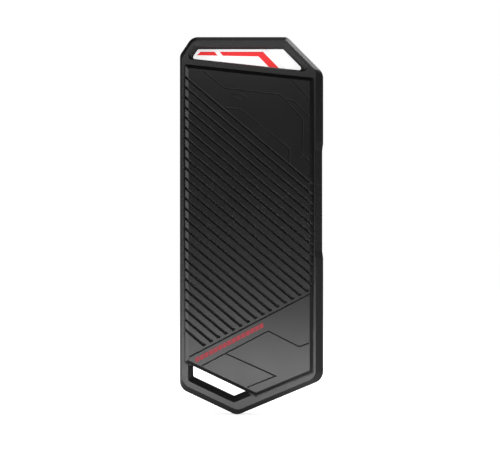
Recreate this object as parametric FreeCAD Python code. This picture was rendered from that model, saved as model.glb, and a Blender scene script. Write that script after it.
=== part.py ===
import FreeCAD, Part
import os
from collections import namedtuple
from math import cos, hypot, pi, radians, sin, tan

# A pocket solid state drive: an M.2 module on its bridge board, in a ribbed aluminium case, held in a
# rubber bumper. Millimetres. +Z runs up the length, +X across, the ribbed face looks towards -Y, and the
# origin is the centre of the bumper's box. Outlines are lists of (x, z) corners that start at the lower
# left and go clockwise.

# Levels through the thickness, from the ribbed face back
face_y = -5.2
panel_rise = 1.1
front_lip = 1.0
cover_thickness = 1.7
front_skirt = 1.6
frame_depth = 4.1
back_wall = 0.7
back_plate = 1.2
back_lip = 0.7

# M.2 module and the space round it in the case
module_x = -1.0
module_seat_z = -36.0
module_width = 22.0
module_length = 80.0
module_thickness = 0.8
module_gap = 1.65
space_left = 12.95
space_right = 13.15
space_above = 15.67
space_below = 26.58
top_slope = 6.1
left_slope = 25.55
right_slope = 22.5
case_wall = 1.4
case_corner_r = 0.9
inside_r = 0.5
ledge_thickness = 0.7

# Raised panel of the front cover, with its grooves
panel_ledge = 0.75
panel_bevel = 1.2
panel_corner_r = 0.5
rib_slope = 40.2
rib_pitch = 2.815
rib_width = 0.95
rib_depth = 0.42
rib_drop = 6.42
rib_end_gap = 1.46
hook_length = 0.8
rib_overrun = 0.8
seam_slope = 27.65
seam_start = (2.35, 1.67)
seam_end = 1.85
seam_width = 0.5
seam_depth = 0.25
line_width = 0.45
line_depth = 0.2

# Engraved lines: corners measured from the case's upper left corner, and from its tip
upper_lines = (
    ((7.3, -3.1), (15.1, -9.5), (35.1, -11.8), (36.8, -13.6), (40.4, -14.2), (46.1, -20.0)),
    ((37.7, -14.2), (43.6, -20.9), (43.4, -33.8), (46.3, -36.3)),
    ((15.0, -16.6), (20.9, -17.2), (38.7, -31.5), (38.7, -37.0)),
    ((17.7, -11.4), (21.5, -11.9), (22.9, -13.1)),
    ((17.7, -12.6), (19.9, -13.5), (21.3, -13.7)),
    ((39.4, -6.2), (46.0, -13.4)),
)
lower_lines = (
    ((-20.7, 11.5), (3.6, 24.2), (14.8, 18.5), (18.4, 19.8)),
    ((-11.9, 16.0), (6.3, 7.8), (-4.0, 3.7)),
)

# Bumper. The corner lists go lower left, upper left, the other four upwards and round to the tip
wall_left = 1.25
wall_right = 3.05
rise_above_case = 9.33
left_foot_drop = 10.03
right_foot_drop = 2.18
tip_drop = 6.786
tip_shift = -7.88
upper_left_cut = (4.43, 6.6)
upper_right_cut = (13.1, 13.2)
bumper_corner_r = (4.3, 3.0, 4.0, 2.8, 4.2, 4.5, 3.9)
recess_depth = 0.35
recess_top = 27.4
recess_bottom = -9.3
recess_ramp = 2.6
recess_corner_r = 3.0
rim_left = 0.7
rim_upper_left = 1.0
rim_top = 1.05
rim_upper_right = 1.17
rim_right = 2.55
rim_lower_right = 1.5
rim_lower_left = 1.67
rim_corner_ease = 0.45
flank_slope_depth = 1.7
rim_edge_break = 0.25
back_bevel = 1.1
lip_gap = 0.4
lip_gap_top = 0.15
back_lip_width = 1.8
back_opening_r = 1.5

# Windows through the bumper
crossbar_wall = 1.7
crossbar_bevel = 0.45
upper_window_walls = (3.57, 3.67, 3.5)
upper_window_draft = 0.5
upper_window_bevel = 1.2
lower_window_left = 4.0
lower_window_walls = (5.8, 4.85)
lower_window_draft = 0.7
lower_window_overlap = 0.6
lower_window_bevel = 1.0
window_bevel_depth = 0.9
window_bevel_spread = 1.5
window_corner_r = 0.8
insert_thickness = 0.6
insert_setback = 7.3
insert_seat = 0.45
insert_clearance = 0.05

# What opens through the lower right wall: the light is placed from the case's tip, then the port, then the
# slider, and the wall ends past the slider
port_y = 0.7
light_to_port = 2.43
port_to_slider = 1.33
shell_width = 8.94
shell_height = 3.26
shell_wall = 0.3
shell_recess = 0.2
shell_length = 7.3
shell_clearance = 0.08
shell_foot = (1.1, 1.4, 0.2)
shell_foot_places = (2.2, 5.2)
shell_notch_gap = 0.1
tongue_width = 6.7
tongue_thickness = 0.7
tongue_setback = 0.8
tongue_base_length = 1.4
tongue_edge_r = 0.2
tongue_contacts = 12
tongue_contact_pitch = 0.5
tongue_contact = (0.28, 0.05, 3.6)
tongue_contact_setback = 0.5
plug_width = 12.6
plug_height = 6.2
plug_corner_r = 1.6
light_along = 2.4
light_r = 0.7
light_length = 2.3
light_gap = 0.03
light_offset = 0.7
led_size = (1.6, 0.6, 0.8)
hole_r = 0.9
slider_inset = 3.773
slider_width = 2.6
slider_height = 1.8
slider_length = 7.6
slider_clearance = 0.2
pocket_wall = 0.9
pin_hole_r = 0.6
catch_setback = 1.6
catch_thickness = 1.0
catch_foot = 1.0
catch_height = 0.7
catch_overlap = 0.7
catch_gap = 0.2
stem_setback = 0.8
stem_thickness = 1.2
spring_seat_gap = 0.1
spring_seat_length = 0.6
spring_length = 3.4
spring_r = 0.7
spring_wire_r = 0.12
spring_turns = 5

# Boards, module and what is on them
board_thickness = 1.0
board_clearance = 0.3
board_ledge = 1.2
board_corner_r = 0.6
socket_width = 21.9
socket_height = 3.2
socket_grip = 3.5
socket_back = 5.5
socket_gap = 0.05
socket_bridge = 0.3
finger_width = 19.85
finger_thickness = 0.03
finger_pitch = 1.0
finger_strip = 0.6
finger_setback = 0.4
contact_strip = 0.4
contact_height = 0.4
contact_setback = 0.7
contact_tail = 0.5
contact_tail_gap = 0.3
key_x = 6.1
key_width = 1.2
chip_height = 1.2
chip_bevel = 0.15
module_step_rise = 0.5
notch_r = 1.75
screw_r = 0.95
screw_hole_r = 1.1
screw_thread_gap = 0.05
screw_head_r = 1.8
screw_head_height = 0.8
screw_length = 3.1
screw_head_ease = 0.35
screw_slot = (2.0, 0.4, 0.45)
screw_inset = 3.2
screw_top_z = 48.0
screw_bottom_z = -34.0
tip_screw_depth = 7.39
tip_screw_gap = 0.37
boss_r = 2.5
boss_cover = 0.4
post_r = 2.75
pivot_r = 0.9
latch_bore_gap = 0.06
latch_hub_r = 1.45
latch_collar = 0.4
latch_reach = 3.6
latch_thickness = 0.8
latch_gap = 0.05
latch_tab = (1.6, 1.2)
latch_tab_root = 0.5
cap_r = 1.4
cap_thickness = 0.3
cover_tab = (4.0, 0.9, 3.0)
cover_tab_places = (12.0, 36.0)
cover_tab_nub = 0.6
cover_tab_gap = 0.1
label_width = 26.0
label_length = 40.0
label_recess = 0.2
label_thickness = 0.15
label_corner_r = 1.5
label_gap = 0.1
front_pad_edge = 1.5
front_pad_low = 7.0
front_pad_top = 6.0
back_pad_edges = (1.0, 5.0)
back_pad_drop = 8.0
back_pad_length = 22.0

# Packages. x and z of the centre of the first one: on the main board from a side of the module and from
# the module's seat, on the module from its middle and its seat. Then steps, count and size
Package = namedtuple("Package", "x z step_x step_z count width length height")
bridge_package = Package(4.5, -12.0, 0, 0, 1, 9.0, 9.0, 1.0)
crystal_package = Package(13.0, -11.5, 0, 0, 1, 3.2, 2.5, 0.8)
crystal_ease = 0.3
inductor_package = Package(4.5, 12.0, 0, 5.5, 2, 4.0, 4.0, 2.0)
inductor_ease = 0.6
right_capacitors = Package(2.5, 22.5, 1.6, 0, 6, 0.8, 1.6, 0.8)
left_capacitors = Package(-2.0, 6.0, 0, 1.8, 6, 1.6, 0.8, 0.6)
low_capacitors = Package(10.75, -7.9, 1.5, 0, 4, 0.5, 1.0, 0.5)
controller_package = Package(-1.0, 15.0, 0, 0, 1, 14.0, 14.0, chip_height)
cache_package = Package(-1.0, 28.25, 0, 0, 1, 12.0, 8.5, chip_height)
memory_package = Package(-1.0, 44.25, 0, 20.0, 2, 13.5, 18.5, chip_height)
power_package = Package(8.3, 11.0, 0, 0, 1, 4.0, 4.0, 0.9)
module_right_capacitors = Package(8.0, 16.4, 0, 1.6, 10, 1.6, 0.8, 0.7)
module_left_capacitors = Package(-9.6, 9.6, 0, 2.2, 8, 0.6, 1.2, 0.5)

# Worked out from the sizes above
rim_y = face_y + panel_rise
ledge_y = rim_y + front_lip
ceiling_y = face_y + cover_thickness
skirt_y = ledge_y + front_skirt
frame_y = skirt_y + frame_depth
plate_y = frame_y + back_wall
back_y = plate_y + back_plate
end_y = back_y + back_lip
ledge_seat_y = frame_y - ledge_thickness
board_y = ledge_seat_y - board_thickness
module_back_y = board_y - module_gap
module_y = module_back_y - module_thickness
chip_y = module_y - chip_height
module_end_z = module_seat_z + module_length
module_left = module_x - module_width / 2
module_right = module_x + module_width / 2
slider_y = board_y - slider_clearance - slider_height / 2
slider_front_y = slider_y - slider_height / 2
light_y = board_y - light_offset
slider_start = case_wall + slider_clearance
spring_start = slider_start + slider_length
shell_end = shell_recess + shell_length
pocket_end = spring_start + spring_length
over = 0.3
tiny = 0.01


def vec(x, y, z):
    return FreeCAD.Vector(x, y, z)


def edge_line(points, index, margin):
    """A point on one edge of an outline, moved inwards by the margin, and the edge's direction."""
    x0, z0 = points[index]
    x1, z1 = points[(index + 1) % len(points)]
    length = hypot(x1 - x0, z1 - z0)
    along = ((x1 - x0) / length, (z1 - z0) / length)
    return (x0 + along[1] * margin, z0 - along[0] * margin), along


def meet(first, second):
    """Point where two lines cross."""
    (x0, z0), (a0, b0) = first
    (x1, z1), (a1, b1) = second
    step = ((x1 - x0) * b1 - (z1 - z0) * a1) / (a0 * b1 - b0 * a1)
    return x0 + a0 * step, z0 + b0 * step


def corners(lines):
    """Outline whose edges lie on the lines, in order."""
    return [meet(lines[i - 1], line) for i, line in enumerate(lines)]


def shrink(points, margins):
    """The outline with each edge moved inwards by its margin."""
    if not isinstance(margins, (tuple, list)):
        margins = [margins] * len(points)
    return corners([edge_line(points, i, margin) for i, margin in enumerate(margins)])


def outline_wire(points, radii, y):
    """Closed wire at one depth: straight runs with an arc at each corner."""
    if not isinstance(radii, (tuple, list)):
        radii = [radii] * len(points)
    arcs = []
    for i, radius in enumerate(radii):
        corner = vec(points[i][0], y, points[i][1])
        before = vec(points[i - 1][0], y, points[i - 1][1]) - corner
        following = points[(i + 1) % len(points)]
        after = vec(following[0], y, following[1]) - corner
        before.normalize()
        after.normalize()
        half = before.getAngle(after) / 2
        middle = before + after
        middle.normalize()
        reach = radius / tan(half)
        bulge = radius / sin(half) - radius
        arcs.append((corner + before * reach, corner + middle * bulge, corner + after * reach))
    edges = []
    for i, (start, middle, end) in enumerate(arcs):
        edges.append(Part.LineSegment(arcs[i - 1][2], start).toShape())
        edges.append(Part.Arc(start, middle, end).toShape())
    return Part.Wire(edges)


def prism(points, radii, y0, y1):
    """Outline pushed from one depth to another."""
    return Part.Face(outline_wire(points, radii, y0)).extrude(vec(0, y1 - y0, 0))


def frustum(points0, radii0, y0, points1, radii1, y1):
    """Solid between two outlines with the same number of corners."""
    wires = [outline_wire(points0, radii0, y0), outline_wire(points1, radii1, y1)]
    return Part.makeLoft(wires, True, True)


def block(x0, x1, y0, y1, z0, z1):
    """Box between two widths, depths and heights, each pair in either order."""
    low = vec(min(x0, x1), min(y0, y1), min(z0, z1))
    return Part.makeBox(abs(x1 - x0), abs(y1 - y0), abs(z1 - z0), low)


def post(radius, x, z, y0, y1):
    """Round post along Y."""
    return Part.makeCylinder(radius, abs(y1 - y0), vec(x, min(y0, y1), z), vec(0, 1, 0))


def rod(radius, y, z0, z1):
    """Round rod along Z at x = 0."""
    return Part.makeCylinder(radius, z1 - z0, vec(0, y, z0))


def stadium(width, height, y, z0, z1):
    """Round-ended bar along Z, centred on x = 0."""
    half = width / 2 - height / 2
    bar = block(-half, half, y - height / 2, y + height / 2, z0, z1)
    for side in (-half, half):
        bar = bar.fuse(Part.makeCylinder(height / 2, z1 - z0, vec(side, y, z0)))
    return bar.removeSplitter()


def placed(shape, x, z, turn):
    """The shape turned about +Y and moved in the plane of the case."""
    shape.rotate(vec(0, 0, 0), vec(0, 1, 0), turn)
    shape.translate(vec(x, 0, z))
    return shape


def lower_wall_point(along, depth):
    """Point (x, z) at a distance from the case's tip along its lower right wall and a depth in from it."""
    angle = radians(right_slope)
    x = case_tip_x + along * cos(angle) - depth * sin(angle)
    return x, case_tip_z + along * sin(angle) + depth * cos(angle)


def on_lower_wall(shape, along):
    """Places a shape made with z = 0 on the outside of the case's lower right wall, +z into the case."""
    return placed(shape, *lower_wall_point(along, 0), -right_slope)


def on_top_wall(shape, along):
    """Places a shape made with z = 0 on the outside of the case's top wall and +z out of the case."""
    angle = radians(top_slope)
    return placed(shape, case_left + along * cos(angle), case_top_z - along * sin(angle), top_slope)


def groove_cutter(path, normal, width, depth):
    """Three-sided bar with mitred corners, whose sharp edge runs under a path on a flat face."""
    sections = []
    lift = normal * over
    for i, point in enumerate(path):
        before = (point - path[i - 1] if i else path[1] - point).normalize()
        after = (path[i + 1] - point if i < len(path) - 1 else before).normalize()
        mitre = (before + after).normalize()
        spread = width / 2 * (1 + over / depth) / before.dot(mitre)
        side = mitre.cross(normal) * spread
        sections.append((point + side + lift, point - side + lift, point - normal * depth))
    faces = [Part.Face(Part.makePolygon([*end, end[0]])) for end in (sections[0], sections[-1])]
    for near, far in zip(sections, sections[1:]):
        for k in range(3):
            corner_points = (near[k - 1], near[k], far[k], far[k - 1], near[k - 1])
            faces.append(Part.Face(Part.makePolygon(corner_points)))
    bar = Part.makeSolid(Part.makeShell(faces))
    if bar.Volume < 0:
        bar.reverse()
    return bar


def face_groove(path, width, depth):
    """Cutter for a groove on the panel's face through its (x, z) corners."""
    return groove_cutter([vec(x, face_y, z) for x, z in path], vec(0, -1, 0), width, depth)


pocket_reach = slider_width / 2 + slider_clearance + pocket_wall
port_along = light_along + light_to_port + shell_foot[0] + shell_width / 2
slider_along = port_along + shell_width / 2 + port_to_slider + pocket_reach
case_left = module_left - space_left
case_right = module_right + space_right
case_tip_x = case_right - (slider_along + slider_inset) * cos(radians(right_slope))
case_top_z = module_end_z + space_above
case_tip_z = module_seat_z - space_below
case = [
    (case_left, case_tip_z + (case_tip_x - case_left) * tan(radians(left_slope))),
    (case_left, case_top_z),
    (case_right, case_top_z - (case_right - case_left) * tan(radians(top_slope))),
    (case_right, case_tip_z + (case_right - case_tip_x) * tan(radians(right_slope))),
    (case_tip_x, case_tip_z),
]
left_edge, top_edge, right_edge, _, lower_left_edge = range(5)
foot = shrink(case, (panel_ledge, panel_ledge, panel_ledge, panel_ledge, 0))
panel = shrink(foot, panel_bevel)
inside = shrink(case, case_wall)
screw_left = inside[left_edge][0] + screw_inset
screw_right = inside[right_edge][0] - screw_inset
tip_screw = lower_wall_point(port_along - shell_width / 2 - boss_r - tip_screw_gap, tip_screw_depth)
side_screws = [(x, z) for z in (screw_bottom_z, screw_top_z) for x in (screw_left, screw_right)]
all_screws = side_screws + [tip_screw]
latch_z = module_end_z


def bumper_outline():
    """Corners of the bumper's outline, with the shallow recess in its right flank."""
    left = case_left - wall_left
    right = case_right + wall_right
    top = case_top_z + rise_above_case
    return [
        (left, case[0][1] - left_foot_drop),
        (left, top - upper_left_cut[1]),
        (left + upper_left_cut[0], top),
        (right - upper_right_cut[0], top),
        (right, top - upper_right_cut[1]),
        (right, recess_top + recess_ramp),
        (right - recess_depth, recess_top),
        (right - recess_depth, recess_bottom),
        (right, recess_bottom - recess_ramp),
        (right, case[right_edge + 1][1] - right_foot_drop),
        (case_tip_x + tip_shift, case_tip_z - tip_drop),
    ]


bumper_edge = bumper_outline()
bumper_left, bumper_upper_left, bumper_top, bumper_upper_right = range(4)
bumper_lower_right, bumper_lower_left = 9, 10
rim_margins = [rim_left, rim_upper_left, rim_top, rim_upper_right]
rim_margins += [rim_right] * 5 + [rim_lower_right, rim_lower_left]
bumper_radii = list(bumper_corner_r[:5]) + [recess_corner_r] * 4 + list(bumper_corner_r[5:])


def upper_window(margin):
    """Walls of the upper window, moved inwards by the margin."""
    lines = [edge_line(case, top_edge, -crossbar_wall - margin)]
    for edge, wall in zip((bumper_upper_left, bumper_top, bumper_upper_right), upper_window_walls):
        lines.append(edge_line(bumper_edge, edge, wall + margin))
    return corners(lines)


def lower_window(margin):
    """Walls of the lower window, moved inwards by the margin; its upper edge runs inside the case."""
    right_wall, left_wall = lower_window_walls
    return corners([
        edge_line(bumper_edge, bumper_left, lower_window_left + margin),
        edge_line(case, lower_left_edge, back_lip_width + lower_window_overlap),
        edge_line(bumper_edge, bumper_lower_right, right_wall + margin),
        edge_line(bumper_edge, bumper_lower_left, left_wall + margin),
    ])


def window_cutter(window, bevels, draft):
    """Window through the bumper, with a bevelled mouth and walls that lean in towards the back."""
    mouth = window(0)
    back = window(draft)
    mouth_y = rim_y + window_bevel_depth
    ahead_y = rim_y - window_bevel_depth * (window_bevel_spread - 1)
    ahead = shrink(mouth, [-window_bevel_spread * bevel for bevel in bevels])
    cutter = frustum(ahead, window_corner_r + max(bevels), ahead_y, mouth, window_corner_r, mouth_y)
    cutter = cutter.fuse(frustum(mouth, window_corner_r, mouth_y, back, window_corner_r, end_y))
    return cutter.fuse(prism(back, window_corner_r, end_y, end_y + over))


def insert_card(clearance):
    """Card across the back of the upper window; with a clearance it is the slot that holds it."""
    card = upper_window(upper_window_draft - insert_seat - clearance)
    front = rim_y + insert_setback
    return prism(card, window_corner_r, front - clearance, front + insert_thickness + clearance)


def make_bumper():
    rim = shrink(bumper_edge, rim_margins)
    rim_radii = [r - rim_corner_ease * m for r, m in zip(bumper_radii, rim_margins)]
    broken = shrink(rim, rim_edge_break)
    broken_y = rim_y + rim_edge_break
    widest_y = rim_y + flank_slope_depth
    bevel_y = end_y - back_bevel
    back = shrink(bumper_edge, back_bevel)
    back_radii = [r - rim_corner_ease * back_bevel for r in bumper_radii]
    body = frustum(broken, rim_radii, rim_y, rim, rim_radii, broken_y)
    body = body.fuse([
        frustum(rim, rim_radii, broken_y, bumper_edge, bumper_radii, widest_y),
        prism(bumper_edge, bumper_radii, widest_y, bevel_y),
        frustum(bumper_edge, bumper_radii, bevel_y, back, back_radii, end_y),
    ])
    opening = shrink(foot, (-lip_gap, -lip_gap_top, -lip_gap, -lip_gap, -lip_gap))
    upper_bevels = (crossbar_bevel, upper_window_bevel, upper_window_bevel, upper_window_bevel)
    lower_bevels = (lower_window_bevel, 0, lower_window_bevel, lower_window_bevel)
    slots = [
        prism(case, case_corner_r, ledge_y, back_y),
        prism(opening, panel_corner_r + lip_gap, rim_y - over, ledge_y + over),
        prism(shrink(case, back_lip_width), back_opening_r, back_y - over, end_y + over),
        window_cutter(upper_window, upper_bevels, upper_window_draft),
        window_cutter(lower_window, lower_bevels, lower_window_draft),
        insert_card(insert_clearance),
    ]
    depth = rise_above_case
    half = plug_width / 2
    plug = block(-half, half, port_y - plug_height / 2, port_y + plug_height / 2, -depth, over)
    plug = plug.makeFillet(plug_corner_r, [e for e in plug.Edges if abs(e.Length - depth - over) < tiny])
    slots.append(on_lower_wall(plug, port_along))
    slots.append(on_lower_wall(rod(hole_r, slider_y, -depth, over), slider_along))
    slots.append(on_lower_wall(rod(hole_r, light_y, -depth, over), light_along))
    return body.cut(slots)


def seam_z(x):
    """Height of the diagonal seam at x."""
    low_x, low_z = seam_start
    return case[0][1] + low_z + (x - case_left - low_x) * tan(radians(seam_slope))


def bevel_groove(start, toward, slope):
    """Cutter that carries a rib groove from the panel's edge down its side bevel."""
    across = vec(toward * panel_bevel, panel_rise, -toward * panel_bevel * slope)
    ahead = vec(across.x, across.y, across.z).normalize() * rib_overrun
    normal = vec(toward * panel_rise, -panel_bevel, 0).normalize()
    return groove_cutter([start - ahead, start + across + ahead], normal, rib_width, rib_depth)


def rib_cutters():
    """Slanted grooves down the face and its side bevels; those that stop above the seam end in a hook."""
    slope = tan(radians(rib_slope))
    turn = radians(seam_slope)
    left_x = panel[left_edge][0]
    right_x = panel[right_edge][0]
    gap = rib_end_gap / cos(turn)
    downhill = vec(1, 0, -slope).normalize()
    cutters = []
    z = case_top_z - rib_drop
    while True:
        run = (z - seam_z(left_x) - gap) / (slope + tan(turn))
        if run < rib_pitch:
            return cutters
        start = vec(left_x, face_y, z)
        x = min(left_x + run, right_x)
        end = vec(x, face_y, z - slope * (x - left_x))
        path = [start - downhill * rib_overrun, end]
        if x < right_x:
            path.append(end + vec(cos(turn), 0, sin(turn)) * hook_length)
        else:
            path[1] = end + downhill * rib_overrun
            cutters.append(bevel_groove(end, 1, slope))
        cutters.append(groove_cutter(path, vec(0, -1, 0), rib_width, rib_depth))
        cutters.append(bevel_groove(start, -1, slope))
        z -= rib_pitch / cos(radians(rib_slope))


def line_cutters():
    """The seam and the engraved lines."""
    start = case_left + seam_start[0]
    end = case_right - seam_end
    cutters = [face_groove([(start, seam_z(start)), (end, seam_z(end))], seam_width, seam_depth)]
    for lines, (x, z) in ((upper_lines, case[top_edge]), (lower_lines, case[lower_left_edge])):
        for line in lines:
            cutters.append(face_groove([(x + dx, z + dz) for dx, dz in line], line_width, line_depth))
    return cutters


def catch_lug():
    """Lug under the front cover that the release slider hooks."""
    near = slider_start + catch_setback - slider_clearance
    foot_y = slider_front_y - catch_gap
    half = slider_width / 2
    lug = block(-half, half, ceiling_y - over, foot_y, near, near + catch_thickness)
    toe = block(-half, half, foot_y - catch_height, foot_y, near, near + catch_thickness + catch_foot)
    return on_lower_wall(lug.fuse(toe), slider_along)


def cover_tabs(gap):
    """Tabs at the front cover's top end; with a gap they are the pockets in the frame."""
    width, thickness, reach = cover_tab
    half = width / 2 + gap
    inner = -case_wall - cover_tab_gap
    tabs = []
    nub_y = ceiling_y + reach
    nub_end = inner + cover_tab_nub + gap
    for along in cover_tab_places:
        nub = block(-half, half, nub_y - cover_tab_nub - gap, nub_y + gap, inner - over, nub_end)
        if not gap:
            nub = nub.fuse(block(-half, half, ceiling_y - over, nub_y, inner - thickness, inner))
        tabs.append(on_top_wall(nub, along))
    return tabs


def make_front_cover():
    cover = prism(case, case_corner_r, ledge_y, skirt_y)
    cover = cover.fuse([
        prism(foot, panel_corner_r, rim_y, ledge_y),
        frustum(panel, panel_corner_r, face_y, foot, panel_corner_r, rim_y),
    ])
    cover = cover.cut(prism(inside, inside_r, ceiling_y, skirt_y + over))
    cover = cover.fuse([catch_lug()] + cover_tabs(0))
    return cover.cut(rib_cutters() + line_cutters())


def screw_ear(x, z, toward_x, toward_z):
    """Ear that joins a screw place to the wall beside it, at the depth of the frame's ledge."""
    half = boss_r if toward_x == x else 0
    tall = boss_r if toward_z == z else 0
    arm = block(min(x, toward_x) - half, max(x, toward_x) + half, ledge_seat_y, frame_y,
                min(z, toward_z) - tall, max(z, toward_z) + tall)
    return arm.fuse(post(boss_r, x, z, ledge_seat_y, frame_y))


def slider_pocket():
    """Walls that guide the release slider and carry its spring."""
    reach = pocket_reach - pocket_wall
    front = slider_front_y
    end = pocket_end + pocket_wall
    outer = block(-pocket_reach, pocket_reach, front, board_y, case_wall - over, end)
    inner = block(-reach, reach, front - over, board_y + over, case_wall, pocket_end)
    return on_lower_wall(outer.cut(inner), slider_along)


def make_inner_frame():
    ring = prism(case, case_corner_r, skirt_y, frame_y)
    ring = ring.cut(prism(inside, inside_r, skirt_y - over, frame_y + over))
    ledge = prism(inside, inside_r, ledge_seat_y, frame_y)
    ledge = ledge.cut(prism(shrink(inside, board_ledge), inside_r, ledge_seat_y - over, frame_y + over))
    wall_left_x = inside[left_edge][0] - over
    wall_right_x = inside[right_edge][0] + over
    ears = [screw_ear(x, z, wall_left_x if x < module_x else wall_right_x, z) for x, z in side_screws]
    ears.append(screw_ear(*tip_screw, tip_screw[0], case_tip_z + case_wall))
    room = prism(case, case_corner_r, ledge_seat_y, frame_y)
    ring = ring.fuse([ledge, slider_pocket()] + [ear.common(room) for ear in ears])
    width = shell_width + 2 * shell_clearance
    height = shell_height + 2 * shell_clearance
    port = stadium(width, height, port_y, -over, shell_length + 2 * case_wall)
    wall_end = case_wall + over
    holes = [
        on_lower_wall(port, port_along),
        on_lower_wall(rod(pin_hole_r, slider_y, -over, wall_end), slider_along),
        on_lower_wall(rod(light_r + light_gap, light_y, -over, wall_end), light_along),
    ]
    holes += [post(screw_hole_r, x, z, ledge_seat_y - over, frame_y + over) for x, z in all_screws]
    return ring.cut(holes + cover_tabs(cover_tab_gap))


def make_back_cover():
    cover = prism(case, case_corner_r, frame_y, back_y)
    cover = cover.cut(prism(inside, inside_r, frame_y - over, plate_y))
    cover = cover.fuse([post(boss_r, x, z, frame_y, plate_y + over) for x, z in all_screws])
    hole_end = back_y - boss_cover
    cuts = [post(screw_r + screw_thread_gap, x, z, frame_y - over, hole_end) for x, z in all_screws]
    cuts.append(label_block(label_recess, back_y + over, label_gap))
    return cover.cut(cuts)


def label_block(depth, end, gap):
    """Rectangle on the back cover with rounded corners, from the recess floor out to a level."""
    half = label_width / 2 + gap
    tall = label_length / 2 + gap
    x = (case_left + case_right) / 2
    points = [(x - half, -tall), (x - half, tall), (x + half, tall), (x + half, -tall)]
    return prism(points, label_corner_r, back_y - depth, end)


def make_back_label():
    return label_block(label_recess, back_y - label_recess + label_thickness, 0)


def make_main_board():
    board = prism(shrink(inside, board_clearance), board_corner_r, board_y, ledge_seat_y)
    half = shell_width / 2 + 2 * shell_clearance
    notch_end = shell_length + shell_recess + shell_notch_gap
    notch = block(-half, half, board_y - over, ledge_seat_y + over, -case_wall, notch_end)
    cuts = [on_lower_wall(notch, port_along)]
    cuts += [post(screw_hole_r, x, z, board_y - over, ledge_seat_y + over) for x, z in all_screws]
    return board.cut(cuts)


def packages(kind, origin_x, back):
    """Row of packages on the front of a board, from an x and the module's seat."""
    parts = []
    for i in range(kind.count):
        x = origin_x + kind.x + kind.step_x * i
        z = module_seat_z + kind.z + kind.step_z * i
        half = kind.width / 2
        tall = kind.length / 2
        parts.append(block(x - half, x + half, back - kind.height, back, z - tall, z + tall))
    return parts


def bevelled(chip):
    """A package with its front edges broken."""
    front = chip.BoundBox.YMin + tiny
    return chip.makeChamfer(chip_bevel, [e for e in chip.Edges if e.BoundBox.YMax < front])


def rounded(can, radius):
    """A package with its upright edges rounded."""
    return can.makeFillet(radius, [e for e in can.Edges if e.BoundBox.YLength > tiny])


def make_bridge_chip():
    return bevelled(*packages(bridge_package, module_left, board_y))


def make_bridge_crystal():
    return rounded(*packages(crystal_package, module_left, board_y), crystal_ease)


def make_power_inductors():
    coils = packages(inductor_package, module_right, board_y)
    return Part.makeCompound([rounded(coil, inductor_ease) for coil in coils])


def make_board_capacitors():
    parts = packages(right_capacitors, module_right, board_y)
    parts += packages(left_capacitors, module_left, board_y)
    parts += packages(low_capacitors, module_left, board_y)
    return Part.makeCompound(parts)


def contact_places():
    """Places across the edge socket that hold a contact: all but the key."""
    count = int(finger_width / finger_pitch)
    places = [module_x + finger_pitch * (i - (count - 1) / 2) for i in range(count)]
    return [x for x in places if abs(x - module_x - key_x) > (key_width + finger_strip) / 2]


def make_socket_contacts():
    back = module_seat_z - socket_back
    mouth = module_seat_z + socket_grip - contact_setback
    lower_y = module_back_y + socket_gap
    upper_y = module_y - socket_gap
    lower_end = back - contact_tail
    upper_start = lower_end - contact_tail_gap
    upper_end = upper_start - contact_tail
    half = contact_strip / 2
    parts = []
    for x in contact_places():
        lower = block(x - half, x + half, lower_y, lower_y + contact_height, lower_end, mouth)
        lower = lower.fuse(block(x - half, x + half, lower_y, board_y, lower_end, back))
        upper = block(x - half, x + half, upper_y - contact_height, upper_y, upper_end, mouth)
        upper = upper.fuse(block(x - half, x + half, upper_y, board_y, upper_end, upper_start))
        parts += [lower, upper]
    return Part.makeCompound(parts)


def make_m2_socket():
    back = module_seat_z - socket_back
    mouth = module_seat_z + socket_grip
    half = socket_width / 2
    body = block(module_x - half, module_x + half, board_y - socket_height, board_y, back, mouth)
    slot_half = finger_width / 2 + socket_gap
    slot_front = module_y - socket_gap
    slot_back = module_back_y + socket_gap
    slot = block(module_x - slot_half, module_x + slot_half, slot_front, slot_back,
                 module_seat_z - socket_gap, mouth + over)
    key_half = key_width / 2 - socket_gap
    key_at = module_x + key_x
    key = block(key_at - key_half, key_at + key_half, module_y - over, module_back_y + over,
                back + over, mouth - socket_bridge)
    body = body.cut(slot).fuse(key.common(body))
    strip_half = contact_strip / 2
    end = mouth - contact_setback
    strips = []
    for x in contact_places():
        for y in (slot_back, slot_front - contact_height):
            strips.append(block(x - strip_half, x + strip_half, y, y + contact_height, back - over, end))
    return body.cut(strips)


def make_ssd_board():
    board = block(module_left, module_right, module_y, module_back_y, module_seat_z, module_end_z)
    step = (module_width - finger_width) / 2
    front = module_y - over
    back = module_back_y + over
    low = module_seat_z - over
    step_end = module_seat_z + socket_grip + module_step_rise
    key_at = module_x + key_x
    key_half = key_width / 2
    return board.cut([
        block(module_left - over, module_left + step, front, back, low, step_end),
        block(module_right - step, module_right + over, front, back, low, step_end),
        block(key_at - key_half, key_at + key_half, front, back, low, module_seat_z + socket_grip),
        post(notch_r, module_x, module_end_z, front, back),
    ])


def make_ssd_edge_contacts():
    half = finger_strip / 2
    low = module_seat_z + finger_setback
    high = module_seat_z + socket_grip - finger_setback
    fingers = []
    for x in contact_places():
        for y in (module_y - finger_thickness, module_back_y):
            fingers.append(block(x - half, x + half, y, y + finger_thickness, low, high))
    return Part.makeCompound(fingers)


def make_ssd_controller():
    return bevelled(*packages(controller_package, module_x, module_y))


def make_ssd_cache_chip():
    return bevelled(*packages(cache_package, module_x, module_y))


def make_ssd_memory_chips():
    return Part.makeCompound([bevelled(chip) for chip in packages(memory_package, module_x, module_y)])


def make_ssd_power_chip():
    return bevelled(*packages(power_package, module_x, module_y))


def make_ssd_capacitors():
    parts = packages(module_right_capacitors, module_x, module_y)
    parts += packages(module_left_capacitors, module_x, module_y)
    return Part.makeCompound(parts)


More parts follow.
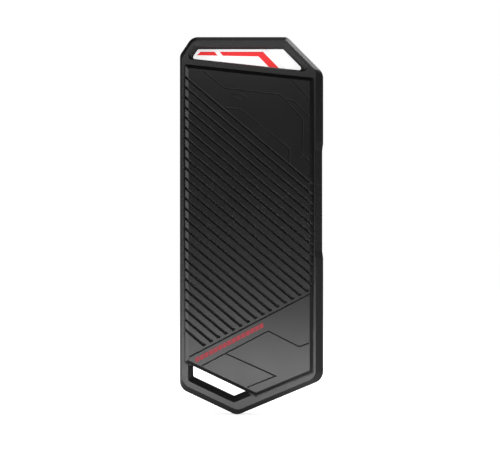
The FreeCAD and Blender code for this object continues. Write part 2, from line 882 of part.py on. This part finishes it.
def make_latch_post():
    hub_y = module_back_y
    head_y = module_y - latch_gap - latch_thickness - latch_gap
    stand = post(post_r, module_x, latch_z, hub_y, board_y)
    pin = post(pivot_r, module_x, latch_z, head_y, hub_y)
    cap = post(cap_r, module_x, latch_z, head_y - cap_thickness, head_y)
    return stand.fuse([pin, cap])


def make_retainer_latch():
    back = module_y - latch_gap
    front = back - latch_thickness
    hub = post(latch_hub_r, module_x, latch_z, back, module_back_y - latch_gap)
    collar = post(latch_hub_r + latch_collar, module_x, latch_z, front, back)
    disc = post(latch_reach, module_x, latch_z, front, back)
    rim = latch_reach + over
    quarter = block(module_x, module_x + rim, front, back, latch_z - rim, latch_z)
    width, reach = latch_tab
    root = module_x + latch_reach - latch_tab_root
    tab = block(root, module_x + latch_reach + reach, front, back, latch_z - width, latch_z)
    latch = disc.common(quarter).fuse([hub, collar, tab])
    return latch.cut(post(pivot_r + latch_bore_gap, module_x, latch_z, front - over, module_back_y + over))


def make_thermal_pad_front():
    half = module_width / 2 - front_pad_edge
    low = module_seat_z + front_pad_low
    return block(module_x - half, module_x + half, ceiling_y, chip_y, low, module_end_z - front_pad_top)


def make_thermal_pad_back():
    left = module_left + back_pad_edges[0]
    right = module_right - back_pad_edges[1]
    low = module_seat_z - socket_back - back_pad_drop
    return block(left, right, ledge_seat_y, plate_y, low, low + back_pad_length)


def make_assembly_screws():
    head_y = board_y - screw_head_height
    long, wide, deep = screw_slot
    screws = []
    for x, z in all_screws:
        head = post(screw_head_r, x, z, head_y, board_y)
        head = head.makeFillet(screw_head_ease, [e for e in head.Edges if e.BoundBox.YMax < head_y + tiny])
        shank = post(screw_r, x, z, board_y, board_y + screw_length)
        cross = []
        for a, b in ((long / 2, wide / 2), (wide / 2, long / 2)):
            cross.append(block(x - a, x + a, head_y - over, head_y + deep, z - b, z + b))
        screws.append(head.fuse(shank).cut(cross))
    return Part.makeCompound(screws)


def shell_bore(start, end):
    """Space inside the receptacle's shell."""
    return stadium(shell_width - 2 * shell_wall, shell_height - 2 * shell_wall, port_y, start, end)


def make_usb_c_shell():
    tube = stadium(shell_width, shell_height, port_y, shell_recess, shell_end)
    bore = shell_bore(shell_recess - over, shell_end + over)
    reach, length, thickness = shell_foot
    edge = shell_width / 2 - shell_wall
    tip = shell_width / 2 + reach
    feet = []
    for side in (-1, 1):
        for place in shell_foot_places:
            low = shell_recess + place
            feet.append(block(side * edge, side * tip, board_y - thickness, board_y, low, low + length))
    return on_lower_wall(tube.fuse(feet).cut(bore), port_along)


def make_usb_c_tongue():
    start = shell_recess + tongue_setback
    base_start = shell_end - tongue_base_length
    half = tongue_width / 2
    rise = tongue_thickness / 2
    tongue = block(-half, half, port_y - rise, port_y + rise, start, base_start)
    tongue = tongue.makeFillet(tongue_edge_r, [e for e in tongue.Edges if e.BoundBox.ZMax < start + tiny])
    return on_lower_wall(shell_bore(base_start, shell_end).fuse(tongue), port_along)


def make_usb_c_contacts():
    width, thickness, length = tongue_contact
    half = width / 2
    start = shell_recess + tongue_setback + tongue_contact_setback
    strips = []
    for i in range(tongue_contacts):
        x = tongue_contact_pitch * (i - (tongue_contacts - 1) / 2)
        for side in (-1, 1):
            y = port_y + side * tongue_thickness / 2
            strips.append(block(x - half, x + half, y, y + side * thickness, start, start + length))
    return on_lower_wall(Part.makeCompound(strips), port_along)


def make_light_guide():
    guide = rod(light_r, light_y, 0, light_length)
    return on_lower_wall(guide, light_along)


def make_status_led():
    width, rise, length = led_size
    end = light_length + length
    led = block(-width / 2, width / 2, light_y - rise, board_y, light_length, end)
    return on_lower_wall(led, light_along)


def make_release_slider():
    """Plunger behind the pin hole, with the hook that holds the front cover's lug."""
    half = slider_width / 2
    bar = block(-half, half, slider_front_y, slider_front_y + slider_height, slider_start, spring_start)
    toe_end = slider_start + catch_setback - slider_clearance + catch_thickness + catch_foot
    hook_y = slider_front_y - catch_gap - catch_height - catch_gap
    stem_start = toe_end + slider_clearance + stem_setback
    stem_end = stem_start + stem_thickness
    stem = block(-half, half, hook_y - catch_height, slider_front_y, stem_start, stem_end)
    hook = block(-half, half, hook_y - catch_height, hook_y, toe_end - catch_overlap, stem_start)
    seat_r = spring_r - spring_wire_r - spring_seat_gap
    seat = rod(seat_r, slider_y, spring_start, spring_start + spring_seat_length)
    return on_lower_wall(bar.fuse([stem, hook, seat]), slider_along)


def make_release_spring():
    """Coil between the slider and the pocket's end wall, with its ends against both."""
    lift = spring_length - 2 * spring_wire_r
    pitch = lift / spring_turns
    helix = Part.makeHelix(pitch, lift, spring_r)
    wire_end = Part.makeCircle(spring_wire_r, vec(spring_r, 0, 0), vec(0, 2 * pi * spring_r, pitch))
    coil = Part.Wire(helix).makePipeShell([Part.Wire(wire_end)], True, True)
    coil.translate(vec(0, slider_y, spring_start + spring_wire_r))
    return on_lower_wall(coil, slider_along)


def main():
    pieces = {
        "bumper": make_bumper(),
        "front_cover": make_front_cover(),
        "window_insert": insert_card(0),
        "inner_frame": make_inner_frame(),
        "back_cover": make_back_cover(),
        "back_label": make_back_label(),
        "main_board": make_main_board(),
        "bridge_chip": make_bridge_chip(),
        "bridge_crystal": make_bridge_crystal(),
        "power_inductors": make_power_inductors(),
        "board_capacitors": make_board_capacitors(),
        "m2_socket": make_m2_socket(),
        "socket_contacts": make_socket_contacts(),
        "usb_c_shell": make_usb_c_shell(),
        "usb_c_tongue": make_usb_c_tongue(),
        "usb_c_contacts": make_usb_c_contacts(),
        "status_led": make_status_led(),
        "light_guide": make_light_guide(),
        "ssd_board": make_ssd_board(),
        "ssd_edge_contacts": make_ssd_edge_contacts(),
        "ssd_controller": make_ssd_controller(),
        "ssd_memory_chips": make_ssd_memory_chips(),
        "ssd_cache_chip": make_ssd_cache_chip(),
        "ssd_power_chip": make_ssd_power_chip(),
        "ssd_capacitors": make_ssd_capacitors(),
        "latch_post": make_latch_post(),
        "retainer_latch": make_retainer_latch(),
        "thermal_pad_front": make_thermal_pad_front(),
        "thermal_pad_back": make_thermal_pad_back(),
        "assembly_screws": make_assembly_screws(),
        "release_slider": make_release_slider(),
        "release_spring": make_release_spring(),
    }
    os.makedirs("parts", exist_ok=True)
    for name, shape in pieces.items():
        box = shape.BoundBox
        print(f"{name:18} solids {len(shape.Solids):3}  volume {shape.Volume:9.2f}  valid {shape.isValid()}"
              f"  x {box.XMin:.2f} {box.XMax:.2f}  y {box.YMin:.2f} {box.YMax:.2f}"
              f"  z {box.ZMin:.2f} {box.ZMax:.2f}")
        shape.exportStep(f"parts/{name}.step")


main()
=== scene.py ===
import bmesh
import bpy
import math
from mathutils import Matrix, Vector


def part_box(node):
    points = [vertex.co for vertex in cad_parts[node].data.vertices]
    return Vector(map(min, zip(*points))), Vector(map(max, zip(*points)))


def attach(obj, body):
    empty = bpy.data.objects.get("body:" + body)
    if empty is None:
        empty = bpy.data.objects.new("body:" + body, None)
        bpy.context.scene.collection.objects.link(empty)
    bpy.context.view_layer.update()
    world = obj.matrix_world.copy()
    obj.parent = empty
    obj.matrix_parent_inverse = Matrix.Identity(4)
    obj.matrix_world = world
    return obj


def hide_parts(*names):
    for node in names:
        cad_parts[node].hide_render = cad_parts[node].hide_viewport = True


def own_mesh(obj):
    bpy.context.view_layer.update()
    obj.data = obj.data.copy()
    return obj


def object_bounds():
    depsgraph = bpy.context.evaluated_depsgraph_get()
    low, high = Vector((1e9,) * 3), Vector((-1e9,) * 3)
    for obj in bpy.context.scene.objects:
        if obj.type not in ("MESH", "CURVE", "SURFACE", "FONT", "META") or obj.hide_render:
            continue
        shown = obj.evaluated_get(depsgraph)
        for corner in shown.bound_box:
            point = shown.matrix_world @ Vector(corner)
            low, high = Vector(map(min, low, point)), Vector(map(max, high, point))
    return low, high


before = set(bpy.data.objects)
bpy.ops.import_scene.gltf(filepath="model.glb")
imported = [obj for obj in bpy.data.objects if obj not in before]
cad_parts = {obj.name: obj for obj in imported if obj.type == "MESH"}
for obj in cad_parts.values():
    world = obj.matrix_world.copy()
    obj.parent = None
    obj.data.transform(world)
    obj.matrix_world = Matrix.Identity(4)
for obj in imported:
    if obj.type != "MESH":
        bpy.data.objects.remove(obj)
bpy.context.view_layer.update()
scene = bpy.context.scene
mm = 0.001


class Wire:  # a shader socket that takes part in sums
    def __init__(self, shader, socket):
        self.shader = shader
        self.socket = socket

    def math(self, operation, *values):
        return self.shader.add("ShaderNodeMath", {"operation": operation}, values)

    def __add__(self, other):
        return self.math("ADD", self, other)

    def __sub__(self, other):
        return self.math("SUBTRACT", self, other)

    def __rsub__(self, other):
        return self.math("SUBTRACT", other, self)

    def __mul__(self, other):
        return self.math("MULTIPLY", self, other)

    def __gt__(self, other):
        return self.math("GREATER_THAN", self, other)

    def __lt__(self, other):
        return self.math("LESS_THAN", self, other)

    __radd__ = __add__
    __rmul__ = __mul__


class Shader:  # builds one node tree
    def __init__(self, owner):
        owner.use_nodes = True
        self.tree = owner.node_tree
        self.tree.nodes.clear()

    def add(self, kind, settings=None, values=(), out=0):
        node = self.tree.nodes.new(kind)
        for name, value in (settings or {}).items():
            setattr(node, name, value)
        pairs = values.items() if isinstance(values, dict) else enumerate(values)
        for key, value in pairs:
            if isinstance(value, Wire):
                self.tree.links.new(value.socket, node.inputs[key])
            else:
                node.inputs[key].default_value = value
        return Wire(self, node.outputs[out]) if len(node.outputs) else None

    def place(self):  # object coordinates as x, y, z in metres
        point = self.add("ShaderNodeTexCoord", out=3)
        parts = self.add("ShaderNodeSeparateXYZ", values=[point])
        node = parts.socket.node
        return point, [Wire(self, socket) for socket in node.outputs]

    def noise(self, point, size, detail=3.0, roughness=0.55):  # 0 to 1, with blotches of that size
        settings = {"noise_dimensions": "3D"}
        values = {"Vector": point, "Scale": 1 / size, "Detail": detail, "Roughness": roughness}
        return self.add("ShaderNodeTexNoise", settings, values)

    def mix(self, factor, first, second):  # two colours
        node = self.tree.nodes.new("ShaderNodeMix")
        node.data_type = "RGBA"
        for key, value in ((0, factor), (6, first), (7, second)):
            if isinstance(value, Wire):
                self.tree.links.new(value.socket, node.inputs[key])
            else:
                node.inputs[key].default_value = value if key == 0 else (*value[:3], 1)
        return Wire(self, node.outputs[2])

    def bump(self, height, distance, strength=1.0, normal=None):
        values = {"Height": height, "Distance": distance, "Strength": strength}
        if normal is not None:
            values["Normal"] = normal
        return self.add("ShaderNodeBump", values=values)

    def finish(self, values):  # surface from the principled shader's sockets
        surface = self.add("ShaderNodeBsdfPrincipled", values=values)
        self.add("ShaderNodeOutputMaterial", values={"Surface": surface})


def newMaterial(name):
    material = bpy.data.materials.new(name)
    return material, Shader(material)


def rgb(colour):
    return (*colour, 1)


rubber = {
    "colour": (0.004, 0.004, 0.0041),
    "dustColour": (0.009, 0.009, 0.0094),
    "dust": 0.3,
    "roughness": 0.40,
    "roughnessSpread": 0.08,
    "grain": 0.22 * mm,
    "grainDepth": 0.004 * mm,
    "patch": 9 * mm,
    "speck": 0.5 * mm,
    "speckShare": 0.66,  # specks lie where the noise is above this
    "specular": 0.5,
    "bump": 0.5,
    "wallShadeColour": (0.002, 0.002, 0.002),  # painted shade: the windows' inner walls are coloured darker than the rest of the rubber, and they are matt
    "wallRoughness": 1.0,
    "wallDepth": 1.0 * mm,  # they start this far behind the rim
    "upperWindow": (-3 * mm, 61 * mm, 54 * mm),  # x and z of the middle, and the z that it lies above
    "lowerWindow": (-12 * mm, -53 * mm, -40 * mm),
}


def makeRubber():
    material, s = newMaterial("bumperRubber")
    point, (x, y, z) = s.place()
    low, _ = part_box("bumper")
    normal = s.add("ShaderNodeNewGeometry", out=3)
    facing = s.add("ShaderNodeSeparateXYZ", values=[normal]).socket.node.outputs
    inward = []  # 1 on walls that face a window's middle
    for middleX, middleZ, _ in (rubber["upperWindow"], rubber["lowerWindow"]):
        inward.append((middleX - x) * Wire(s, facing[0]) + (middleZ - z) * Wire(s, facing[2]) > 0)
    upper = inward[0] * (z > rubber["upperWindow"][2])
    lower = inward[1] * (z < rubber["lowerWindow"][2])
    # painted shade: this mask darkens the windows' inner walls and makes them matt
    shadedWall = (upper + lower) * (y > low.y + rubber["wallDepth"])
    patch = s.noise(point, rubber["patch"])
    grain = s.noise(point, rubber["grain"], 2.0)
    speck = s.noise(point, rubber["speck"], 4.0, 0.7) > rubber["speckShare"]
    dust = speck * rubber["dust"] * patch
    colour = s.mix(dust, rubber["colour"], rubber["dustColour"])
    satin = rubber["roughness"] + (patch - 0.5) * rubber["roughnessSpread"]
    s.finish({
        # painted shade: the windows' inner walls take the darker colour
        "Base Color": s.mix(shadedWall, colour, rubber["wallShadeColour"]),
        "Roughness": satin + shadedWall * (rubber["wallRoughness"] - satin),
        "Specular IOR Level": rubber["specular"],
        "Normal": s.bump(grain, rubber["grainDepth"], rubber["bump"]),
    })
    return material


metal = {
    "colour": (0.004, 0.004, 0.0042),
    "wornColour": (0.009, 0.009, 0.0094),
    "metallic": 0.2,
    "roughness": 0.35,
    "roughnessSpread": 0.06,
    "blast": 0.16 * mm,
    "blastDepth": 0.005 * mm,
    "smudge": 14 * mm,
    "edge": 0.12 * mm,
    "speck": 0.35 * mm,
    "speckShare": 0.62,  # specks lie where the noise is above this
    "wear": 0.5,
    "bump": 0.5,
}


def makeCaseMetal():  # bead-blasted and anodised
    material, s = newMaterial("caseMetal")
    point, _ = s.place()
    smudge = s.noise(point, metal["smudge"], 2.0, 0.5)
    blast = s.noise(point, metal["blast"], 2.0)
    speck = s.noise(point, metal["speck"], 3.0) > metal["speckShare"]
    soft = s.add("ShaderNodeBevel", {"samples": 4}, {"Radius": metal["edge"]})
    s.finish({
        "Base Color": s.mix(speck * smudge * metal["wear"], metal["colour"], metal["wornColour"]),
        "Metallic": metal["metallic"],
        "Roughness": metal["roughness"] + (smudge - 0.5) * metal["roughnessSpread"],
        "Normal": s.bump(blast, metal["blastDepth"], metal["bump"], soft),
    })
    return material


card = {
    "white": (0.86, 0.86, 0.87),
    "red": (0.72, 0.018, 0.022),
    "blush": (0.84, 0.76, 0.76),
    "line": (0.42, 0.44, 0.46),
    "bandTop": 1.20 * mm,  # the card's own upper edge down to the band
    "bandDepth": 1.32 * mm,
    "bandTaper": 0.02,
    "bandStart": 3.24 * mm,  # from the card's left edge
    "gapStart": 8.44 * mm,
    "gapWidth": 1.8 * mm,
    "turn": 26.29 * mm,  # where the band turns down
    "legWidth": 3.4 * mm,
    "lineOffset": 1.85 * mm,
    "lineWidth": 0.18 * mm,
    "lean": 0.98,
    "gapLean": 0.82,
    "grain": 0.4 * mm,
    "grainDepth": 0.01 * mm,
    "bump": 0.3,
    "startLean": 1.07,
    "blushShare": 0.35,
    "roughness": 0.45,
    "roughnessSpread": 0.15,
    "glow": 0.75,  # makes up for the low light level, the real card has none
}


def makeCard():
    material, s = newMaterial("printedCard")
    low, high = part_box("window_insert")
    point, (x, _, z) = s.place()
    across = x - low.x
    down = high.z - z
    drop = down - card["bandTop"]
    depth = card["bandDepth"] + (across - card["bandStart"]) * card["bandTaper"]
    outer = across - drop * card["lean"] - card["turn"]  # above 0 beyond the leg
    gap = across - drop * card["gapLean"] - card["gapStart"]
    start = across + drop * card["startLean"] - card["bandStart"]
    whole = 1 - (gap > 0) * (gap < card["gapWidth"])
    bar = (drop > 0) * (drop < depth) * (start > 0) * (outer < 0) * whole
    leg = (drop > 0) * (outer < 0) * (outer > -card["legWidth"])
    red = (bar + leg) > 0.5
    blush = (outer > 0) * (outer < card["lineOffset"])
    line = (outer > card["lineOffset"]) * (outer < card["lineOffset"] + card["lineWidth"])
    colour = s.mix(blush * card["blushShare"], card["white"], card["blush"])
    colour = s.mix(line, colour, card["line"])
    colour = s.mix(red, colour, card["red"])
    fibre = s.noise(point, card["grain"])
    s.finish({
        "Base Color": colour,
        "Roughness": card["roughness"] + fibre * card["roughnessSpread"],
        "Emission Color": colour,
        "Emission Strength": card["glow"],
        "Normal": s.bump(fibre, card["grainDepth"], card["bump"]),
    })
    return material


plainFinishes = {  # finish: colour, metallic, roughness, grain size in mm, grain depth in mm
    "framePlastic": ((0.02, 0.02, 0.021), 0.0, 0.55, 0.25, 0.01),
    "labelFilm": ((0.060, 0.060, 0.063), 0.0, 0.42, 0.5, 0.004),
    "circuitBoard": ((0.008, 0.045, 0.028), 0.0, 0.35, 0.6, 0.006),
    "chipPackage": ((0.018, 0.018, 0.019), 0.0, 0.5, 0.12, 0.008),
    "steelCan": ((0.62, 0.61, 0.60), 1.0, 0.3, 0.3, 0.004),
    "ferrite": ((0.05, 0.05, 0.052), 0.0, 0.6, 0.2, 0.02),
    "capacitorCeramic": ((0.36, 0.22, 0.12), 0.0, 0.4, 0.1, 0.003),
    "connectorPlastic": ((0.012, 0.012, 0.012), 0.0, 0.45, 0.2, 0.006),
    "contactGold": ((0.82, 0.58, 0.22), 1.0, 0.25, 0.2, 0.002),
    "thermalPad": ((0.23, 0.27, 0.33), 0.0, 0.7, 0.5, 0.03),
    "postBrass": ((0.72, 0.50, 0.20), 1.0, 0.32, 0.2, 0.003),
    "latchPlastic": ((0.03, 0.03, 0.034), 0.0, 0.3, 0.3, 0.004),
    "sliderPlastic": ((0.45, 0.02, 0.03), 0.0, 0.45, 0.3, 0.006),
    "screwSteel": ((0.12, 0.12, 0.125), 1.0, 0.38, 0.15, 0.004),
    "ledResin": ((0.80, 0.74, 0.45), 0.0, 0.25, 0.3, 0.002),
}


plain = {"patch": 4 * mm, "darker": 0.75, "roughnessSpread": 0.12, "bump": 0.6}


def makePlain(name, colour, metallic, roughness, grainSize, grainDepth):
    material, s = newMaterial(name)
    point, _ = s.place()
    patch = s.noise(point, plain["patch"])
    grain = s.noise(point, grainSize * mm, 2.0)
    darker = [channel * plain["darker"] for channel in colour]
    s.finish({
        "Base Color": s.mix(patch, colour, darker),
        "Metallic": metallic,
        "Roughness": roughness + (patch - 0.5) * plain["roughnessSpread"],
        "Normal": s.bump(grain, grainDepth * mm, plain["bump"]),
    })
    return material


clear = {
    "colour": (0.85, 0.88, 0.9),
    "haze": 1 * mm,
    "roughness": 0.12,
    "roughnessSpread": 0.15,
    "transmission": 0.85,
    "ior": 1.49,
}


def makeClear():
    material, s = newMaterial("clearPlastic")
    point, _ = s.place()
    haze = s.noise(point, clear["haze"])
    s.finish({
        "Base Color": rgb(clear["colour"]),
        "Roughness": clear["roughness"] + haze * clear["roughnessSpread"],
        "Transmission Weight": clear["transmission"],
        "IOR": clear["ior"],
    })
    return material


ink = {
    "colour": (0.30, 0.006, 0.020),
    "wornColour": (0.19, 0.005, 0.013),
    "wear": 0.4 * mm,
    "wearDepth": 0.004 * mm,
    "roughness": 0.58,
    "roughnessSpread": 0.1,
    "bump": 0.4,
}


def makeInk():  # the printed dashes
    material, s = newMaterial("redInk")
    point, _ = s.place()
    wear = s.noise(point, ink["wear"], 4.0, 0.7)
    s.finish({
        "Base Color": s.mix(wear, ink["colour"], ink["wornColour"]),
        "Roughness": ink["roughness"] + wear * ink["roughnessSpread"],
        "Normal": s.bump(wear, ink["wearDepth"], ink["bump"]),
    })
    return material


print("materials")
materials = {name: makePlain(name, *values) for name, values in plainFinishes.items()}
materials["bumperRubber"] = makeRubber()
materials["caseMetal"] = makeCaseMetal()
materials["printedCard"] = makeCard()
materials["clearPlastic"] = makeClear()
materials["redInk"] = makeInk()

nodeFinish = {
    "bumper": "bumperRubber",
    "front_cover": "caseMetal",
    "back_cover": "caseMetal",
    "window_insert": "printedCard",
    "inner_frame": "framePlastic",
    "back_label": "labelFilm",
    "main_board": "circuitBoard",
    "ssd_board": "circuitBoard",
    "bridge_chip": "chipPackage",
    "ssd_controller": "chipPackage",
    "ssd_memory_chips": "chipPackage",
    "ssd_cache_chip": "chipPackage",
    "ssd_power_chip": "chipPackage",
    "bridge_crystal": "steelCan",
    "power_inductors": "ferrite",
    "board_capacitors": "capacitorCeramic",
    "ssd_capacitors": "capacitorCeramic",
    "m2_socket": "connectorPlastic",
    "usb_c_tongue": "connectorPlastic",
    "socket_contacts": "contactGold",
    "usb_c_contacts": "contactGold",
    "ssd_edge_contacts": "contactGold",
    "usb_c_shell": "steelCan",
    "status_led": "ledResin",
    "light_guide": "clearPlastic",
    "latch_post": "postBrass",
    "retainer_latch": "latchPlastic",
    "thermal_pad_front": "thermalPad",
    "thermal_pad_back": "thermalPad",
    "assembly_screws": "screwSteel",
    "release_slider": "sliderPlastic",
    "release_spring": "steelCan",
}
for name, finish in nodeFinish.items():
    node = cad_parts[name]
    node.data.materials.clear()
    node.data.materials.append(materials[finish])


dashes = {
    "count": 15,
    "pitch": 1.88 * mm,
    "length": 1.58 * mm,
    "height": 1.6 * mm,
    "slant": 0.35,
    "angle": 27.65,
    "fromLeft": 5.2 * mm,  # from the cover's left edge to the first dash
    "fromTip": 13.75 * mm,  # from the cover's lowest point
    "ink": 0.004 * mm,
}


def dashTree():
    tree = bpy.data.node_groups.new("dashRow", "GeometryNodeTree")
    tree.interface.new_socket("Geometry", in_out="OUTPUT", socket_type="NodeSocketGeometry")
    ids = {}
    for name, kind in (("Count", "Int"), ("Pitch", "Float"), ("Length", "Float"), ("Height", "Float"),
                       ("Slant", "Float"), ("Ink", "Float"), ("Angle", "Float")):
        ids[name] = tree.interface.new_socket(name, in_out="INPUT", socket_type="NodeSocket" + kind).identifier
    nodes, link = tree.nodes, tree.links.new
    given = nodes.new("NodeGroupInput").outputs
    size = nodes.new("ShaderNodeCombineXYZ")
    link(given["Length"], size.inputs[0])
    link(given["Ink"], size.inputs[1])
    link(given["Height"], size.inputs[2])
    bar = nodes.new("GeometryNodeMeshCube")
    link(size.outputs[0], bar.inputs["Size"])
    where = nodes.new("GeometryNodeInputPosition")
    split = nodes.new("ShaderNodeSeparateXYZ")
    link(where.outputs[0], split.inputs[0])
    lean = nodes.new("ShaderNodeMath")
    lean.operation = "MULTIPLY"
    link(split.outputs[2], lean.inputs[0])
    link(given["Slant"], lean.inputs[1])
    shift = nodes.new("ShaderNodeCombineXYZ")
    link(lean.outputs[0], shift.inputs[0])
    slanted = nodes.new("GeometryNodeSetPosition")
    link(bar.outputs["Mesh"], slanted.inputs["Geometry"])
    link(shift.outputs[0], slanted.inputs["Offset"])
    step = nodes.new("ShaderNodeCombineXYZ")
    link(given["Pitch"], step.inputs[0])
    row = nodes.new("GeometryNodeMeshLine")
    link(given["Count"], row.inputs["Count"])
    link(step.outputs[0], row.inputs["Offset"])
    spread = nodes.new("GeometryNodeInstanceOnPoints")
    link(row.outputs[0], spread.inputs["Points"])
    link(slanted.outputs[0], spread.inputs["Instance"])
    real = nodes.new("GeometryNodeRealizeInstances")
    link(spread.outputs[0], real.inputs[0])
    turn = nodes.new("ShaderNodeCombineXYZ")
    link(given["Angle"], turn.inputs[1])
    turned = nodes.new("GeometryNodeTransform")
    link(real.outputs[0], turned.inputs["Geometry"])
    link(turn.outputs[0], turned.inputs["Rotation"])
    coat = nodes.new("GeometryNodeSetMaterial")
    coat.inputs["Material"].default_value = materials["redInk"]
    link(turned.outputs[0], coat.inputs[0])
    link(coat.outputs[0], nodes.new("NodeGroupOutput").inputs[0])
    return tree, ids


def bakeTree(name, tree, ids, values, place):  # plain mesh from a geometry tree, moved to its place
    holder = bpy.data.objects.new(name + "Maker", bpy.data.meshes.new(name))
    scene.collection.objects.link(holder)
    modifier = holder.modifiers.new("tree", "NODES")
    modifier.node_group = tree
    for key, value in values.items():
        modifier[ids[key]] = value
    evaluated = holder.evaluated_get(bpy.context.evaluated_depsgraph_get())
    mesh = bpy.data.meshes.new_from_object(evaluated)
    for vertex in mesh.vertices:
        vertex.co += place
    bpy.data.objects.remove(holder)
    piece = bpy.data.objects.new(name, mesh)
    scene.collection.objects.link(piece)
    return piece


def printDashes():
    low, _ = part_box("front_cover")
    tree, ids = dashTree()
    values = {
        "Count": dashes["count"],
        "Pitch": dashes["pitch"],
        "Length": dashes["length"],
        "Height": dashes["height"],
        "Slant": dashes["slant"],
        "Ink": dashes["ink"],
        "Angle": -math.radians(dashes["angle"]),
    }
    place = Vector((low.x + dashes["fromLeft"], low.y, low.z + dashes["fromTip"]))
    piece = bakeTree("printedDashes", tree, ids, values, place)
    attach(piece, "case")


print("printed dashes")
printDashes()


softEdges = {
    "width": 0.3 * mm,
    "segments": 3,
    "angle": 28.0,  # edges sharper than this are rounded
    "merge": 0.002 * mm,
    "flat": 0.6,
}


def softenBumper():  # the rubber's edges are rounded over
    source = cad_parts["bumper"]
    mesh = source.data.copy()
    form = bmesh.new()
    form.from_mesh(mesh)
    bmesh.ops.remove_doubles(form, verts=form.verts, dist=softEdges["merge"])
    flat = math.radians(softEdges["flat"])
    bmesh.ops.dissolve_limit(form, angle_limit=flat, verts=form.verts, edges=form.edges)
    form.to_mesh(mesh)
    form.free()
    piece = bpy.data.objects.new("bumperSkin", mesh)
    scene.collection.objects.link(piece)
    bevel = piece.modifiers.new("bevel", "BEVEL")
    bevel.width = softEdges["width"]
    bevel.segments = softEdges["segments"]
    bevel.limit_method = "ANGLE"
    bevel.angle_limit = math.radians(softEdges["angle"])
    bevel.use_clamp_overlap = True
    bevel.harden_normals = False
    for polygon in mesh.polygons:
        polygon.use_smooth = True
    smooth = piece.modifiers.new("weighted", "WEIGHTED_NORMAL")
    smooth.keep_sharp = True
    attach(piece, "case")
    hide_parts("bumper")


print("bumper edges")
softenBumper()


def makeCoil():  # a copy of the slider's spring with a mesh of its own, kept with the case; the real spring shortens as the slider is pushed in
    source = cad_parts["release_spring"]
    piece = bpy.data.objects.new("springCoil", source.data.copy())
    scene.collection.objects.link(piece)
    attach(piece, "case")
    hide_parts("release_spring")
    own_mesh(piece)


print("spring")
makeCoil()


studio = {
    "camera": (-0.57 * mm, -804.1 * mm, 0.26 * mm),
    "lens": 157.8,
    "sensor": 36,
    "near": 0.05,
    "far": 20,
    "world": 0.42,
    "worldGlossyDrop": 0.37,  # reflections see a dark room
    "worldCameraRise": 0.58,
    "floor": 0.9,
    "floorSize": 3.0,
    "floorGap": 0.05 * mm,
    "floorGlow": 0.66,
}
lamps = {  # place, what it faces, width, height, power
    "frontLow": ((0.0, -0.13, -0.063), (0.0, 0.0, -0.058), 0.16, 0.008, 0.12),
    "frontHigh": ((0.0, -0.10, 0.088), (0.0, 0.0, 0.066), 0.12, 0.012, 0.028),
    "upperRight": ((0.42, 0.22, 0.42), (0.0, 0.0, 0.0), 0.10, 0.55, 2.6),
    "overhead": ((0.0, 0.45, 0.85), (0.0, 0.0, 0.0), 0.40, 0.15, 0.25),
    "underLeft": ((-0.12, -0.01, -0.060), (-0.01, 0.0, -0.03), 0.12, 0.04, 0.05),
    "left": ((-0.45, -0.04, 0.0), (0.0, 0.0, 0.0), 0.10, 0.30, 0.42),
    "leftFront": ((-0.62, -0.55, 0.05), (0.0, 0.0, 0.05), 0.25, 0.25, 1.2),
}


def makeLamps():
    for name, (place, target, width, height, power) in lamps.items():
        data = bpy.data.lights.new(name, "AREA")
        data.shape = "RECTANGLE"
        data.size = width
        data.size_y = height
        data.energy = power
        lamp = bpy.data.objects.new(name, data)
        scene.collection.objects.link(lamp)
        lamp.location = place
        lamp.rotation_euler = (Vector(target) - Vector(place)).to_track_quat("-Z", "Y").to_euler()
        lamp.visible_camera = False


def makeWorld():
    world = bpy.data.worlds.new("studio")
    scene.world = world
    s = Shader(world)
    path = s.add("ShaderNodeLightPath").socket.node.outputs
    camera = Wire(s, path["Is Camera Ray"])
    glossy = Wire(s, path["Is Glossy Ray"])
    strength = studio["world"] - glossy * studio["worldGlossyDrop"] + camera * studio["worldCameraRise"]
    ray = s.add("ShaderNodeBackground", values={"Color": rgb((1, 1, 1)), "Strength": strength})
    s.add("ShaderNodeOutputWorld", values={"Surface": ray})


def makeFloor():
    low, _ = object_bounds()
    half = studio["floorSize"] / 2
    level = low.z - studio["floorGap"]
    mesh = bpy.data.meshes.new("floor")
    corners = [(-half, -half, level), (half, -half, level), (half, half, level), (-half, half, level)]
    mesh.from_pydata(corners, [], [(0, 1, 2, 3)])
    floor = bpy.data.objects.new("floor", mesh)
    scene.collection.objects.link(floor)
    material, s = newMaterial("floorPaper")
    camera = Wire(s, s.add("ShaderNodeLightPath").socket.node.outputs["Is Camera Ray"])
    white = studio["floor"]
    paper = s.add("ShaderNodeBsdfDiffuse", values={"Color": rgb((white, white, white))})
    strength = camera * studio["floorGlow"]
    glow = s.add("ShaderNodeEmission", values={"Color": rgb((1, 1, 1)), "Strength": strength})
    s.add("ShaderNodeOutputMaterial", values={"Surface": s.add("ShaderNodeAddShader", values=[paper, glow])})
    mesh.materials.append(material)


def makeCamera():
    data = bpy.data.cameras.new("camera")
    data.sensor_width = studio["sensor"]
    data.lens = studio["lens"]
    data.clip_start = studio["near"]
    data.clip_end = studio["far"]
    camera = bpy.data.objects.new("camera", data)
    scene.collection.objects.link(camera)
    camera.location = studio["camera"]
    camera.rotation_euler = (math.radians(90), 0, 0)
    scene.camera = camera


print("studio")
makeLamps()
makeWorld()
makeFloor()
makeCamera()
scene.view_settings.view_transform = "Standard"
